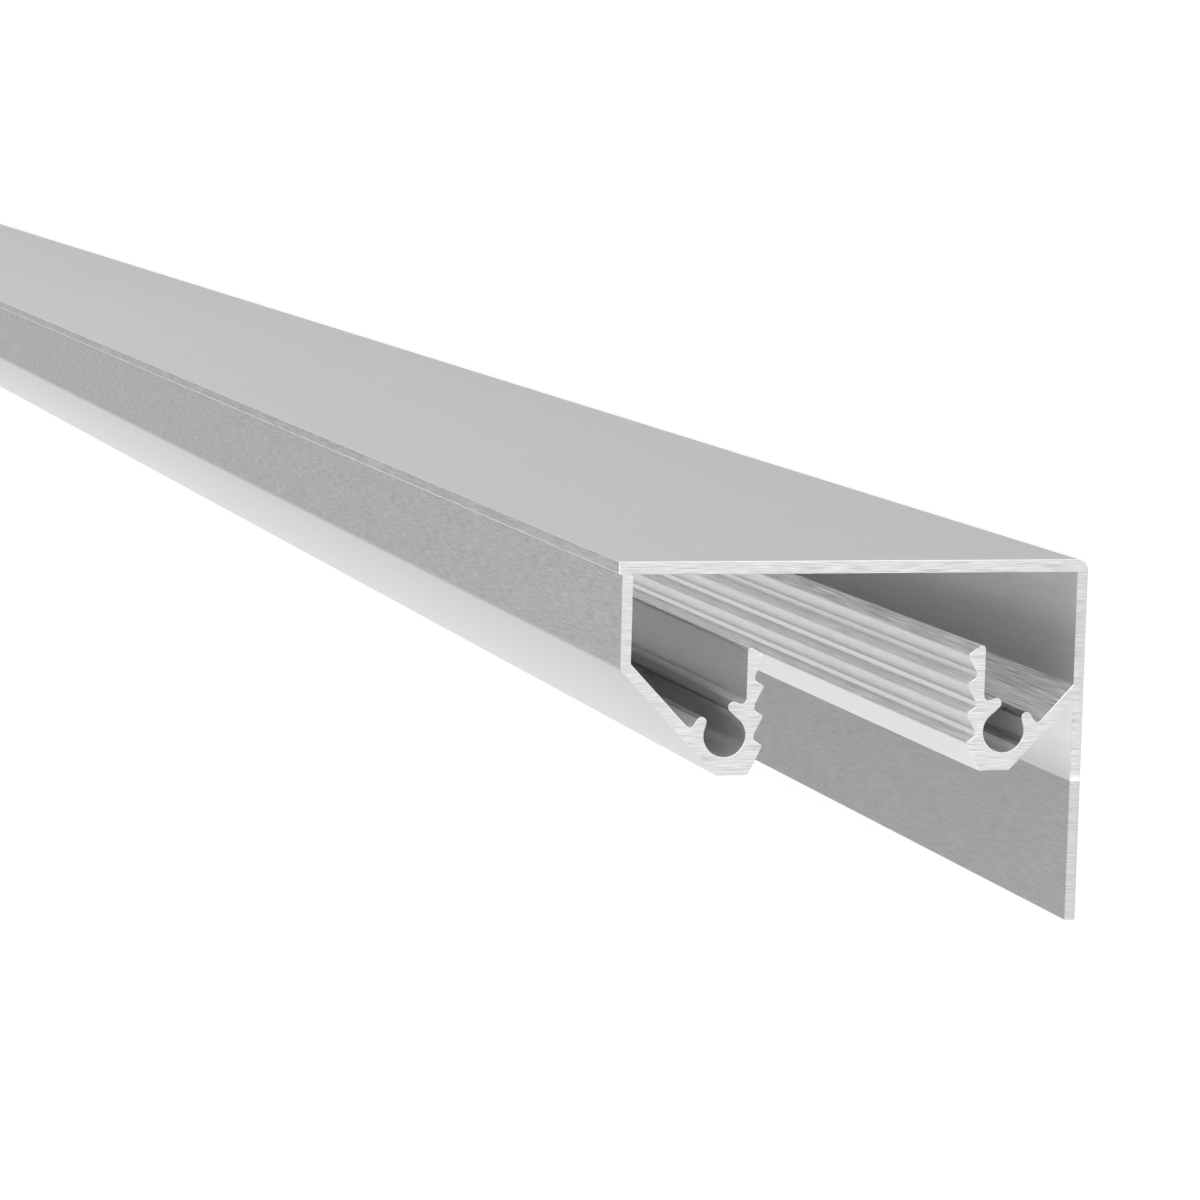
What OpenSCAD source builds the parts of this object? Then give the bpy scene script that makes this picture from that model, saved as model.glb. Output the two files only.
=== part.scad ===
// Aluminium cover strip: one extruded profile with a cover plate, a toothed slot and two screw ports.
// The section is drawn with x to the right of the slot's middle and y down from the cover face.

/* [Cover plate] */
// Length of the strip, as such stock is sold
strip_length = 1000; // [200:50:3000]
// Width from the end of the lip to the right outer face
cover_w = 50; // [48:0.5:80]
// Thickness of the cover plate
cover_t = 1.3; // [0.8:0.05:3]
// How far the plate stands out past the left wall
lip = 0.4; // [0.1:0.1:3]
// Radius of the outer corner over the right wall
corner_r = 1.2; // [0.2:0.1:2]

/* [Walls and webs] */
// Thickness of the left wall, the right wall and its flange
wall_t = 1.1; // [0.8:0.05:2]
// Depth from the cover face to the end of the flange
flange_depth = 37.55; // [26:0.05:60]
// Thickness of the slanted webs
web_t = 1.15; // [0.8:0.05:2]
// Slope of the slanted webs against the cover plate, in degrees
web_angle = 46.6; // [40:0.1:55]
// Outer radius where the left wall bends into its web
bend_r = 1; // [0.2:0.1:2]

/* [Toothed slot] */
// Distance from the right outer face to the middle of the slot
slot_offset = 23.55; // [20:0.05:30]
// Clear width between the tooth tips
slot_w = 21.9; // [16:0.1:26]
// Depth from the cover face to the top of the stems
stem_top = 8.8; // [5:0.05:11]
// Thickness of a stem behind the teeth
stem_t = 0.9; // [0.7:0.05:1.6]
// Radius of the outer top edge of a stem
stem_r = 0.35; // [0.1:0.05:0.5]
// Height of the teeth
tooth_h = 0.9; // [0.5:0.05:1.2]
// Distance from tooth to tooth
tooth_pitch = 3.03; // [2.6:0.01:3.1]
// Slope of the short upper flank, in degrees
tooth_rise = 33; // [20:1:40]
// Slope of the long lower flank, in degrees
tooth_fall = 62.5; // [55:0.5:65]
// Radius of the tooth tips
tip_r = 0.12; // [0.05:0.01:0.25]

/* [Screw ports] */
// Radius of a screw port
port_r = 2.2; // [1.6:0.05:2.8]
// Depth from the cover face to the flat underside of the ports
base_depth = 21.75; // [21.5:0.05:25]
// Wall between a port and the flat underside
port_floor = 1.85; // [1:0.05:2.5]
// Radius of the rounded hooks at the mouth of a port
hook_r = 0.55; // [0.4:0.01:0.7]
// Elevation of the outer hook, seen from the middle of the port
outer_hook_angle = 29.6; // [24:0.1:34]
// Elevation of the inner hook, seen from the middle of the port
inner_hook_angle = 106.3; // [100:0.1:112]
// Radius of the groove between a stem and its hook
stem_groove_r = 0.5; // [0.3:0.05:0.6]
// Radius of the groove between the outer hook and the web
web_groove_r = 0.4; // [0.3:0.05:0.5]

/* [Hidden] */
$fn = 96;

right_x = slot_offset;
left_x = slot_offset - cover_w + lip;
face_x = slot_w / 2 + tooth_h + stem_t;
valley_x = slot_w / 2 + tooth_h;
port_x = face_x + port_r;
port_y = base_depth - port_floor - port_r;

// Teeth: sharp apex, then the tangent points and the middle of the rounded tip
half_apex = (180 - tooth_rise - tooth_fall) / 2;
apex_x = slot_w / 2 - tip_r * (1 / sin(half_apex) - 1);
top_tangent = [face_x - stem_r * (1 + sin(tooth_rise)), stem_top + stem_r * (1 - cos(tooth_rise))];
first_apex = top_tangent[1] + (top_tangent[0] - apex_x) * tan(tooth_rise);
teeth = 4;
tip_run = tip_r / tan(half_apex);
tip_mid = (tooth_fall - tooth_rise) / 2;
last_apex = first_apex + (teeth - 1) * tooth_pitch;
base_in = apex_x + (base_depth - last_apex) / tan(tooth_fall);
base_out = port_x + (port_r + web_t - (base_depth - port_y) * cos(web_angle)) / sin(web_angle);

// Hooks and grooves at the mouth of a port
function at(a, r) = [port_x + r * cos(a), port_y - r * sin(a)];
function along(p, a, r) = [p[0] + r * cos(a), p[1] - r * sin(a)];
inner_hook = at(inner_hook_angle, port_r + 1.5 * hook_r);
outer_hook = at(outer_hook_angle, port_r + 1.15 * hook_r);
stem_groove = [face_x + stem_groove_r, inner_hook[1] - 1.45 * hook_r];
web_run = port_r * sin(web_angle) + hook_r + web_groove_r + 0.9;
web_groove = along(at(web_angle - 90, port_r - web_groove_r), web_angle, web_run);
kink_y = port_y + (port_r + web_t - (-left_x - port_x) * sin(web_angle)) / cos(web_angle);
bend_run = bend_r * tan((90 - web_angle) / 2);

module tooth(apex_y, last) {
  apex = [apex_x, apex_y];
  run = valley_x + stem_t / 3 - apex_x;
  low = last ? [base_in, base_depth] : [apex_x + run, apex_y + run * tan(tooth_fall)];
  inside = last ? port_x : face_x - stem_t / 3;
  polygon([[inside, apex_y], [inside, low[1]], low, along(apex, -tooth_fall, tip_run),
           along(apex, tooth_rise, tip_run), [apex_x + run, apex_y - run * tan(tooth_rise)]]);
  translate(along(apex, -tip_mid, tip_r / sin(half_apex))) circle(r = tip_r);
}

// Upright with the teeth on its slot side; the top edge falls away to the first tooth
module stem() {
  translate([valley_x, first_apex]) square([stem_t, last_apex - first_apex]);
  translate([face_x - stem_r, stem_top + stem_r]) circle(r = stem_r);
  polygon([[face_x - stem_r, stem_top + stem_r], [face_x, stem_top + stem_r], [face_x, first_apex],
           [valley_x, first_apex], along([apex_x, first_apex], tooth_rise, tip_run), top_tangent]);
  for (k = [0 : teeth - 1]) tooth(first_apex + k * tooth_pitch, k == teeth - 1);
}

// Solid round a screw port with the two hooks' necks, down to the flat underside
module port_body() {
  polygon([[face_x - stem_t / 2, stem_groove[1]], stem_groove,
           along(stem_groove, -68, stem_groove_r), along(inner_hook, 112, hook_r), inner_hook,
           along(inner_hook, -47, hook_r), at(inner_hook_angle + 15.3, port_r), [port_x, port_y],
           at(outer_hook_angle - 13, port_r), along(outer_hook, 194, hook_r), outer_hook,
           along(outer_hook, 30, hook_r), along(web_groove, 210, web_groove_r), web_groove,
           along(web_groove, web_angle - 90, web_groove_r),
           along(at(web_angle - 90, port_r + web_t / 2), web_angle, web_run),
           at(web_angle - 90, port_r + web_t / 2), [port_x, base_depth], [base_in, base_depth],
           [face_x - stem_t / 2, last_apex]]);
}

// Slanted wall that starts at the flat underside and passes the port at one wall thickness
module web(limit) {
  start = 2 * port_r;
  intersection() {
    translate(along(at(web_angle - 90, port_r), web_angle, -start)) rotate(-web_angle)
      square([start + (limit - port_x) / cos(web_angle) + 2 * web_t, web_t]);
    square([limit, base_depth]);
  }
}

module core_side(limit) {
  difference() {
    union() {
      stem();
      port_body();
      web(limit);
    }
    translate([port_x, port_y]) circle(r = port_r);
    translate(stem_groove) circle(r = stem_groove_r);
    translate(web_groove) circle(r = web_groove_r);
  }
  translate(inner_hook) circle(r = hook_r);
  translate(outer_hook) circle(r = hook_r);
}

// What the rounding takes off the outside of the bend in the left wall
module bend_waste() {
  middle = [left_x + bend_r, kink_y - bend_run];
  web_end = along([left_x, kink_y], -web_angle, bend_run);
  difference() {
    polygon([middle, web_end, along(web_end, -90 - web_angle, bend_r),
             [left_x - bend_r, kink_y + bend_r], [left_x - bend_r, middle[1]]]);
    translate(middle) circle(r = bend_r);
  }
}

module section() {
  difference() {
    union() {
      translate([left_x - lip, 0]) square([cover_w, cover_t]);
      translate([right_x - wall_t, 0]) square([wall_t, flange_depth]);
    }
    translate([right_x - corner_r, 0]) difference() {
      translate([0, -1]) square([corner_r + 1, corner_r + 1]);
      translate([0, corner_r]) circle(r = corner_r);
    }
  }
  core_side(right_x - wall_t / 2);
  difference() {
    union() {
      translate([left_x, 0]) square([wall_t, kink_y]);
      mirror([1, 0]) core_side(-left_x);
    }
    bend_waste();
  }
}

// Lies on the flat outer face of its right wall, with the left wall on top
module cover_strip() {
  color([0.78, 0.79, 0.8])
    translate([flange_depth / 2, -strip_length / 2, right_x])
      rotate([0, 90, 0]) rotate([-90, 0, 0]) linear_extrude(strip_length) section();
}

cover_strip();
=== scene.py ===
"""Extruded aluminium cover strip, lying on its long side wall and seen from its sawn end."""

import math

import bmesh
import bpy
from mathutils import Matrix, Vector


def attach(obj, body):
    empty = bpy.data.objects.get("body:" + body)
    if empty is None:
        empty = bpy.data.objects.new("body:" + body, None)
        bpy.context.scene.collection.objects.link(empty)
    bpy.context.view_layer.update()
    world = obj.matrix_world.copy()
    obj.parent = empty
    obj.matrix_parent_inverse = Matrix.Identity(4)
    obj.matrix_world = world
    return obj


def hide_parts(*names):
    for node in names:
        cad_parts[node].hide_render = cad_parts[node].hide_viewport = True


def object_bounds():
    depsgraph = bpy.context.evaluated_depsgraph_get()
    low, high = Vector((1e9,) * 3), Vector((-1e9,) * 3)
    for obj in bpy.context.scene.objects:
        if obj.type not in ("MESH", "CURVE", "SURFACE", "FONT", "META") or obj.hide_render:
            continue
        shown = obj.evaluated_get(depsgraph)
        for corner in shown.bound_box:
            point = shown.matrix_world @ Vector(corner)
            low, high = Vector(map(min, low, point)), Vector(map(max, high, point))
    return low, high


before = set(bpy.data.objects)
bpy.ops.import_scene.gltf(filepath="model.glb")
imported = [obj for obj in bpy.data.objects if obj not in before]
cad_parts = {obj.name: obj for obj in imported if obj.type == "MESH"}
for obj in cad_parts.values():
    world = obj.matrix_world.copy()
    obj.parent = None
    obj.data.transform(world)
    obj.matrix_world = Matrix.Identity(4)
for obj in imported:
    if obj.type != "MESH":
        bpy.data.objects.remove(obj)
cad_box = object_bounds()


# Camera. The photograph looks along the strip with a long lens, close to the sawn end.
# The picture is turned on its side, so that the cover face is at its top.
camera_place = Vector((0.070157, -0.939386, 0.175861))
camera_forward = Vector((-0.120043, 0.955470, -0.269569))
picture_top = Vector((0.992427, 0.122618, -0.007330))
camera_right = camera_forward.cross(picture_top).normalized()
camera_data = bpy.data.cameras.new("camera")
camera_data.lens = 138.533
camera_data.sensor_width = 36.0
camera_data.clip_start = 0.01
camera_data.clip_end = 100.0
camera = bpy.data.objects.new("camera", camera_data)
camera_turn = Matrix((camera_right, camera_right.cross(camera_forward), -camera_forward)).transposed()
camera.matrix_world = Matrix.Translation(camera_place) @ camera_turn.to_4x4()
bpy.context.scene.collection.objects.link(camera)
bpy.context.scene.camera = camera
bpy.context.scene.view_settings.view_transform = "Standard"


# Floor and light. A pale floor that a product studio lays out under its work, lit by soft boxes
# and by the plain grey of the room. What the lens and the metal see of floor and room is white.
def srgb(code):
    """Turns an sRGB hex colour to the linear colour that Blender's sockets take."""
    parts = [int(code[i : i + 2], 16) / 255 for i in (1, 3, 5)]
    return [p / 12.92 if p <= 0.04045 else ((p + 0.055) / 1.055) ** 2.4 for p in parts] + [1.0]


def add_node(tree, kind, inputs=None, **settings):
    """Adds a node with its settings; a socket given as an input is linked, anything else is set."""
    node = tree.nodes.new(kind)
    for name, value in settings.items():
        setattr(node, name, value)
    for name, value in (inputs or {}).items():
        if isinstance(value, bpy.types.NodeSocket):
            tree.links.new(value, node.inputs[name])
        else:
            node.inputs[name].default_value = value
    return node


def start_material(name):
    """A new material that has no nodes yet; returns the material and its node tree."""
    material = bpy.data.materials.new(name)
    material.use_nodes = True
    material.node_tree.nodes.clear()
    return material, material.node_tree


def seen_directly(tree):
    """1 for the rays of the camera, of gloss and of glass, and 0 for the light on the object."""
    rays = add_node(tree, "ShaderNodeLightPath").outputs
    seen = {0: rays["Is Camera Ray"], 1: rays["Is Glossy Ray"]}
    seen = add_node(tree, "ShaderNodeMath", seen, operation="MAXIMUM")
    seen = {0: seen.outputs[0], 1: rays["Is Transmission Ray"]}
    return add_node(tree, "ShaderNodeMath", seen, operation="MAXIMUM").outputs[0]


floor_material, tree = start_material("pale_studio_floor")
matt = add_node(tree, "ShaderNodeBsdfDiffuse", {"Color": srgb("#c8c8c8")})
glow = {"Color": srgb("#bebebe"), "Strength": seen_directly(tree)}
glow = add_node(tree, "ShaderNodeEmission", glow)
both = add_node(tree, "ShaderNodeAddShader", {0: matt.outputs[0], 1: glow.outputs[0]})
add_node(tree, "ShaderNodeOutputMaterial", {"Surface": both.outputs[0]})

# The floor lies a hair below the strip, because two flat faces in one place would flicker
floor_half = 8.0
floor_gap = 0.00002
floor_place = Matrix.Translation((0, 0, -floor_gap))
floor_mesh = bpy.data.meshes.new("floor")
bm = bmesh.new()
bmesh.ops.create_grid(bm, x_segments=1, y_segments=1, size=floor_half, matrix=floor_place)
bm.to_mesh(floor_mesh)
bm.free()
floor_mesh.materials.append(floor_material)
floor = bpy.data.objects.new("floor", floor_mesh)
bpy.context.scene.collection.objects.link(floor)

# A Mix node takes its share at input 0 and two numbers at 2 and 3, or two colours at 6 and 7;
# their mix is then output 0 or 2
world = bpy.data.worlds.new("pale_room")
bpy.context.scene.world = world
world.use_nodes = True
world.node_tree.nodes.clear()
tone = {0: seen_directly(world.node_tree), 6: srgb("#e4e4e4"), 7: srgb("#ffffff")}
tone = add_node(world.node_tree, "ShaderNodeMix", tone, data_type="RGBA")
room = add_node(world.node_tree, "ShaderNodeBackground", {"Color": tone.outputs[2], "Strength": 1.0})
add_node(world.node_tree, "ShaderNodeOutputWorld", {"Surface": room.outputs[0]})

# name, place, point it looks at, width and height in metres, watts
soft_boxes = [
    ("key_box", (3.4, -2.0, 2.7), (0.0, 0.0, 0.0), 2.9, 2.9, 90.0),
    ("fill_box", (-3.6, 0.6, 3.4), (0.0, 0.0, 0.0), 3.6, 3.6, 80.0),
]
for name, place, aim, width, height, watts in soft_boxes:
    lamp = bpy.data.lights.new(name, "AREA")
    lamp.shape = "RECTANGLE"
    lamp.size = width
    lamp.size_y = height
    lamp.energy = watts
    box = bpy.data.objects.new(name, lamp)
    box.location = place
    box.rotation_euler = (Vector(aim) - Vector(place)).to_track_quat("-Z", "Y").to_euler()
    bpy.context.scene.collection.objects.link(box)


# Cover strip. One aluminium extrusion: cover plate, two side walls, slanted webs and screw ports
# with a toothed slot between them. It is brushed along its length and sawn square at both ends,
# where a light pass with a file has taken the sharpness off the edges.
mm = 0.001
near = 1e-6
plate = 1.3 * mm
finish_line = 23.0 * mm
lip_break = 0.16 * mm
end_break = 0.06 * mm
flat_turn = math.radians(0.3)
sharp_turn = math.radians(28)
cover_x = cad_box[1].x
end_y = cad_box[1].y
lip_z = cad_box[1].z

# The loose triangles of the solid are merged to flat faces and split where the finish changes
strip_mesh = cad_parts["cover_strip"].data.copy()
strip_mesh.name = "aluminium_strip"
strip_mesh.materials.clear()
bm = bmesh.new()
bm.from_mesh(strip_mesh)
bmesh.ops.remove_doubles(bm, verts=bm.verts[:], dist=near)
bmesh.ops.dissolve_limit(
    bm,
    angle_limit=flat_turn,
    use_dissolve_boundaries=False,
    verts=bm.verts[:],
    edges=bm.edges[:],
    delimit=set(),
)
bmesh.ops.bisect_plane(
    bm,
    geom=bm.verts[:] + bm.edges[:] + bm.faces[:],
    plane_co=(cover_x - finish_line, 0, 0),
    plane_no=(1, 0, 0),
)


def break_edges(edges, width, segments):
    """Takes the sharpness off some edges, as a die radius or a pass with a file does."""
    bmesh.ops.bevel(
        bm,
        geom=edges,
        offset=width,
        offset_type="OFFSET",
        affect="EDGES",
        segments=segments,
        profile=0.5,
        material=-1,
        clamp_overlap=False,
    )


def edges_at(is_there):
    """The edges that have both of their ends in one kind of place."""
    return [edge for edge in bm.edges if all(is_there(vertex.co) for vertex in edge.verts)]


def under_lip(point):
    return abs(point.z - lip_z) < near and abs(cover_x - point.x - plate) < near


def at_sawn_end(point):
    return abs(abs(point.y) - end_y) < near


break_edges(edges_at(under_lip), lip_break, 1)
break_edges(edges_at(at_sawn_end), end_break, 2)
bm.normal_update()
bm.to_mesh(strip_mesh)
bm.free()


# Mean length in mm of one mark of the finish along X, Y and Z. Real marks are two or three hundredths
# of a millimetre wide, which is too fine to show, so they are drawn three to eight times as coarse.
lengthwise = (0.16, 3.2, 0.16)
inside_grain = (0.2, 5.0, 0.2)
fine_grain = (0.07, 8.0, 0.07)
saw_marks = (0.11, 1.0, 2.6)
# Mean length in mm of the soft lighter and darker patches that lie over the marks
soft_patch = (1.5, 14.0, 1.5)
saw_patch = (0.5, 1.0, 6.0)
# Nearly all of a noise texture's values lie between these two
noise_low, noise_high = 0.3, 0.7


def aluminium(
    name, dark, light, edge_tint, roughness, relief, grain=lengthwise, patch=soft_patch, share=0.5, fade=None
):
    """Bare aluminium whose colour and relief run in fine streaks.

    relief is the depth of the marks in mm and share is how much of the tone comes from the patches.
    fade is a colour that the surface turns to between two depths in mm below the cover face; on several
    faces this ramp is painted light or shade."""
    material, tree = start_material(name)
    place = add_node(tree, "ShaderNodeTexCoord").outputs["Object"]
    marks = []
    for size in (grain, patch):
        at = {"Vector": place, "Scale": [1 / (length * mm) for length in size]}
        at = add_node(tree, "ShaderNodeMapping", at)
        noise = {"Vector": at.outputs[0], "Scale": 1.0, "Detail": 1.0}
        marks.append(add_node(tree, "ShaderNodeTexNoise", noise))
    total = add_node(tree, "ShaderNodeMix", {0: share, 2: marks[0].outputs[0], 3: marks[1].outputs[0]})
    tone = add_node(tree, "ShaderNodeMapRange", {0: total.outputs[0], 1: noise_low, 2: noise_high})
    colour = {0: tone.outputs[0], 6: srgb(dark), 7: srgb(light)}
    colour = add_node(tree, "ShaderNodeMix", colour, data_type="RGBA")
    if fade:
        end_colour, start, end = fade
        height = add_node(tree, "ShaderNodeSeparateXYZ", {"Vector": place}).outputs["X"]
        part = {0: height, 1: cover_x - start * mm, 2: cover_x - end * mm}
        part = add_node(tree, "ShaderNodeMapRange", part)
        colour = {0: part.outputs[0], 6: colour.outputs[2], 7: srgb(end_colour)}
        colour = add_node(tree, "ShaderNodeMix", colour, data_type="RGBA")
    bump = {"Strength": 1.0, "Distance": relief * mm, "Height": marks[0].outputs[0]}
    bump = add_node(tree, "ShaderNodeBump", bump)
    surface = {
        "Base Color": colour.outputs[2],
        "Metallic": 1.0,
        "Roughness": roughness,
        "Specular Tint": srgb(edge_tint),
        "Normal": bump.outputs[0],
    }
    surface = add_node(tree, "ShaderNodeBsdfPrincipled", surface)
    add_node(tree, "ShaderNodeOutputMaterial", {"Surface": surface.outputs[0]})
    return material


finishes = [
    # Cover face, brushed and satin anodised: one even pale grey that keeps hardly any grain
    aluminium("satin_anodised_face", "#c4c4c4", "#c6c6c6", "#d4d4d4", 0.4, 0.0005),
    # Outer faces of the side walls, brushed along the strip: grey with fine light and dark streaks
    aluminium("brushed_aluminium_side", "#ababab", "#c7c7c7", "#cccccc", 0.4, 0.003, share=0.15),
    # Bend below the left wall: painted shade, a dark grey that turns lighter towards the smooth web and
    # stands in for the light changing round the bend
    aluminium(
        "aluminium_bend_painted_shade", "#9a9a9a", "#9e9e9e", "#f0f0f0", 0.4, 0.0005, fade=("#bfbfbf", 10.4, 11.1)
    ),
    # Outside of the left web and flat undersides of the cores, as they left the die: smooth,
    # with a pale sheen at a flat angle
    # Its colour is painted lighter further from the cover face: a painted gradient of light
    aluminium(
        "mill_web_and_painted_light", "#bfbfbf", "#c3c3c3", "#f0f0f0", 0.43, 0.001, fade=("#d2d2d2", 11.1, 21.5)
    ),
    # Inside of the hollows, as it left the die: a soft mirror that hands light on between the walls
    aluminium("mill_aluminium_inside", "#f8f8f8", "#fdfdfd", "#ffffff", 0.48, 0.001),
    # Inside of the right wall under the cover: a soft mirror with faint streaks from the die
    aluminium("drawn_aluminium_wall", "#f6f6f6", "#ffffff", "#ffffff", 0.45, 0.001, inside_grain, share=0.3),
    # Back of the stems: smoother than the rest, with faint long die lines
    aluminium("mill_aluminium_stem", "#f4f4f4", "#ffffff", "#ffffff", 0.27, 0.001, inside_grain, share=0.2),
    # Tops of the stems and inside of the right web, where the die has left a stronger grain
    aluminium("grained_aluminium_flank", "#b0b0b0", "#ffffff", "#e6e6e6", 0.4, 0.002, fine_grain, share=0.0),
    # Short upper flanks of the teeth: pale bands that show the same grain; their pale tone is partly painted
    # light, standing in for light from the neighbouring tooth
    aluminium(
        "mill_tooth_top_and_painted_light", "#dcdcdc", "#ffffff", "#ffffff", 0.42, 0.002, fine_grain, share=0.0
    ),
    # Long lower flanks of the teeth: smooth and bright, with soft streaks
    aluminium("mill_aluminium_tooth_flank", "#d2d2d2", "#e2e2e2", "#f0f0f0", 0.34, 0.002, share=0.2),
    # Roots between the teeth: the smoothest faces, greyer from tooth to tooth
    aluminium(
        "mill_aluminium_tooth_root", "#e6e6e6", "#ececec", "#fafafa", 0.24, 0.0003,
        fade=("#d0d0d0", 11.0, 18.2),
    ),
    # Small slanted faces at the slot's mouth and under the lip: light lines along the strip
    aluminium("mill_aluminium_chamfer", "#dcdcdc", "#e0e0e0", "#f4f4f4", 0.38, 0.0005),
    # Bores of the screw ports with their hooks: smooth round metal with soft lengthwise shading
    aluminium("mill_aluminium_port", "#f2f2f2", "#f8f8f8", "#ffffff", 0.45, 0.0005),
    # Inside of the flange above the finish line: painted light, pale next to the web and greyer below,
    # standing in for light that the web throws into the corner
    aluminium(
        "mill_flange_and_painted_light", "#eeeeee", "#f4f4f4", "#ffffff", 0.5, 0.0005, fade=("#cbcbcb", 18.0, 22.5)
    ),
    # Inside of the flange below the finish line, brushed as the outer faces are
    aluminium("brushed_aluminium_flange", "#a7a7a7", "#b9b9b9", "#c4c4c4", 0.4, 0.002, share=0.15),
    # Sawn ends: pale grey crossed by fine saw lines, with a painted highlight that makes them lightest just
    # above the finish line
    aluminium(
        "sawn_end_and_painted_highlight", "#bcbcbc", "#e8e8e8", "#ffffff", 0.38, 0.002, saw_marks, saw_patch,
        share=0.15, fade=("#ffffff", 22.15, 23.0),
    ),
    # Sawn ends below the finish line: the same saw lines on a slightly greyer metal
    aluminium(
        "sawn_aluminium_flange_end", "#b6b6b6", "#dadada", "#ffffff", 0.38, 0.002, saw_marks, saw_patch,
        share=0.15,
    ),
    # Filed edges of the ends: thin bright rims that catch the light from above
    aluminium("filed_aluminium_edge", "#fafafa", "#ffffff", "#ffffff", 0.5, 0.0005, saw_marks),
]
slot_of = {}
for finish in finishes:
    slot_of[finish.name] = len(strip_mesh.materials)
    strip_mesh.materials.append(finish)

# A face lies on one of the lines below if it is this close to it
touch = 0.01 * mm
# Heights above the floor
slot_middle = 23.55 * mm
left_face = 49.6 * mm
right_wall = 1.2 * mm
# Depths below the cover face
teeth_top = 9.0 * mm
first_tip = 9.8 * mm
web_root = 14.5 * mm
last_tip = 19.2 * mm
underside = 21.7 * mm
# Distances from the middle of the slot
root_side = 11.8 * mm
teeth_side = 12.2 * mm
stem_side = 12.7 * mm, 12.8 * mm
port_middle = 16.5 * mm
port_side = 18.5 * mm
flange_side = 22.0 * mm
bend_side = 25.0 * mm
# Outside of a slanted web, depth and this many times the distance come to more than the sum
web_slope = 1.0575
web_sum = 37.0 * mm
# Least share of its normal along an axis on a face that is square to the axis, nearly square,
# slanted, turned to one side, or the first facet of a rounding
square = 0.97
nearly_square = 0.9
slant = 0.3
turned = 0.1
rounded = 0.02


def finish_of(centre, normal):
    """Name of a face's finish, from its place in the section and the way it looks."""
    depth = cover_x - centre.x
    across = abs(centre.z - slot_middle)
    left = centre.z > slot_middle
    slanted = min(abs(normal.x), abs(normal.z)) > slant
    if turned < abs(normal.y) < square and (normal.x > turned or centre.z > left_face + touch):
        return "filed_aluminium_edge"
    if abs(normal.y) > turned:
        return "sawn_end_and_painted_highlight" if depth < finish_line else "sawn_aluminium_flange_end"
    if depth < touch or (normal.x > rounded and normal.z < -rounded and centre.z < right_wall):
        return "satin_anodised_face"
    if slanted and centre.z > left_face + touch:
        return "mill_aluminium_chamfer"
    if centre.z > left_face - touch or centre.z < touch:
        return "brushed_aluminium_side"
    if depth > finish_line:
        return "brushed_aluminium_flange"
    if normal.x < -rounded and across > bend_side:
        return "aluminium_bend_painted_shade"
    if normal.x < -slant and (depth + web_slope * across > web_sum or depth > underside):
        outside = left or normal.x < -nearly_square
        return "mill_web_and_painted_light" if outside else "mill_aluminium_inside"
    if normal.z > square and depth > web_root and across > flange_side:
        return "mill_flange_and_painted_light"
    if slanted and normal.x > 0 and (depth < first_tip or (across > port_middle and not left)):
        return "grained_aluminium_flank"
    if across < teeth_side and depth > last_tip:
        return "mill_aluminium_chamfer"
    if across < teeth_side and depth > teeth_top:
        if abs(normal.z) > square and across > root_side:
            return "mill_aluminium_tooth_root"
        return "mill_aluminium_tooth_flank" if normal.x < -turned else "mill_tooth_top_and_painted_light"
    if depth > web_root and across < port_side:
        return "mill_aluminium_port"
    if normal.z > square and depth < web_root and centre.z < right_wall:
        return "drawn_aluminium_wall"
    if abs(normal.z) > square and stem_side[0] < across < stem_side[1]:
        return "mill_aluminium_stem"
    return "mill_aluminium_inside"


for polygon in strip_mesh.polygons:
    polygon.material_index = slot_of[finish_of(polygon.center, polygon.normal)]
    polygon.use_smooth = True
strip_mesh.set_sharp_from_angle(angle=sharp_turn)
strip = bpy.data.objects.new("aluminium_strip", strip_mesh)
bpy.context.scene.collection.objects.link(strip)
flat_faces = strip.modifiers.new("flat_faces", "WEIGHTED_NORMAL")
flat_faces.keep_sharp = True
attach(strip, "root")
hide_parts("cover_strip")
